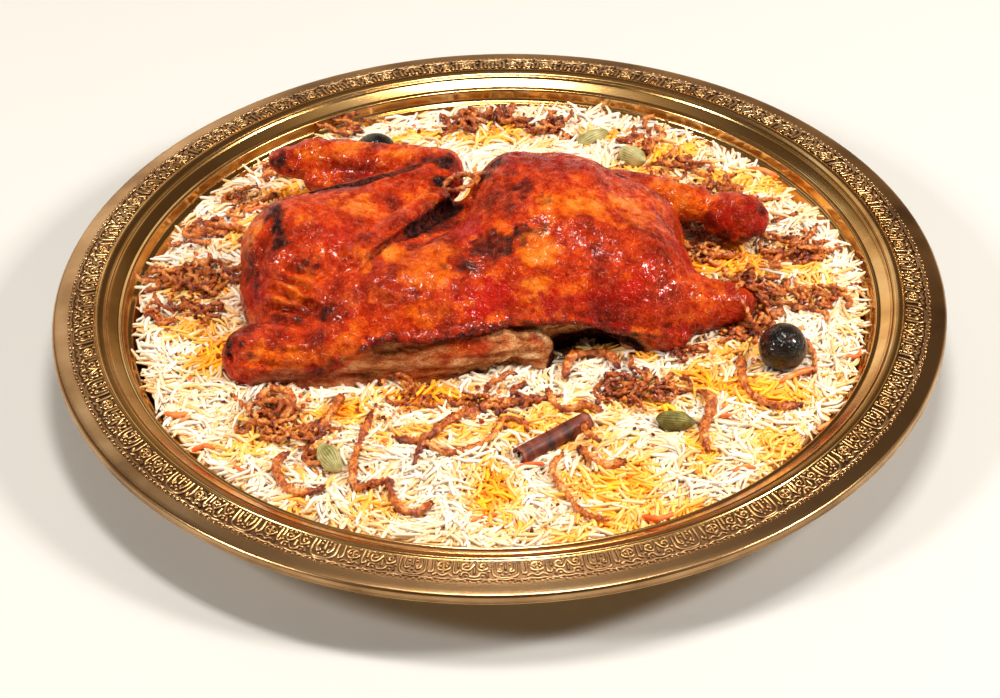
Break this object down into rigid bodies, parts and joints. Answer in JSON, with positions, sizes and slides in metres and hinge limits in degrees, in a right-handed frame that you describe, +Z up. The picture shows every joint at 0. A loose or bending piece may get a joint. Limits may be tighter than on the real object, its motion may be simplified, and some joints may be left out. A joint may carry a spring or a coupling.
{
  "type": "plate of chicken mandi",
  "caption": "Round brass serving tray with an embossed rim, holding a bed of long-grain rice, a whole roast bird and a garnish of dried limes, cinnamon, cardamom and fried onion.",
  "frame": {"origin": "middle of the underside of the tray", "axes": "+Z up; +X along the bird from its neck to its legs; +Y from the skin's cut edge towards the folded wing"},
  "size_m": [0.4, 0.4, 0.0928],
  "materials": {
    "brass_tray": "polished, with a darkened embossed band",
    "cooked_rice": "moist steamed grain, white with saffron yellow and orange",
    "roast_skin": "glazed, wrinkled skin, charred in places",
    "dried_lime": "hard, glossy, almost black",
    "cinnamon_bark": "dry rolled bark",
    "cardamom_pod": "dry ribbed husk",
    "fried_onion": "crisp, oily, brown"
  },
  "bodies": {
    "root": {"tray": "brass_tray", "rice": "cooked_rice", "chicken": "roast_skin", "lime_1": "dried_lime", "lime_2": "dried_lime", "cinnamon": "cinnamon_bark", "cardamom_1": "cardamom_pod", "cardamom_2": "cardamom_pod", "cardamom_3": "cardamom_pod", "cardamom_4": "cardamom_pod", "onion_1": "fried_onion", "onion_2": "fried_onion", "onion_3": "fried_onion", "onion_4": "fried_onion", "onion_5": "fried_onion", "onion_6": "fried_onion", "onion_7": "fried_onion"}
  },
  "joints": []
}
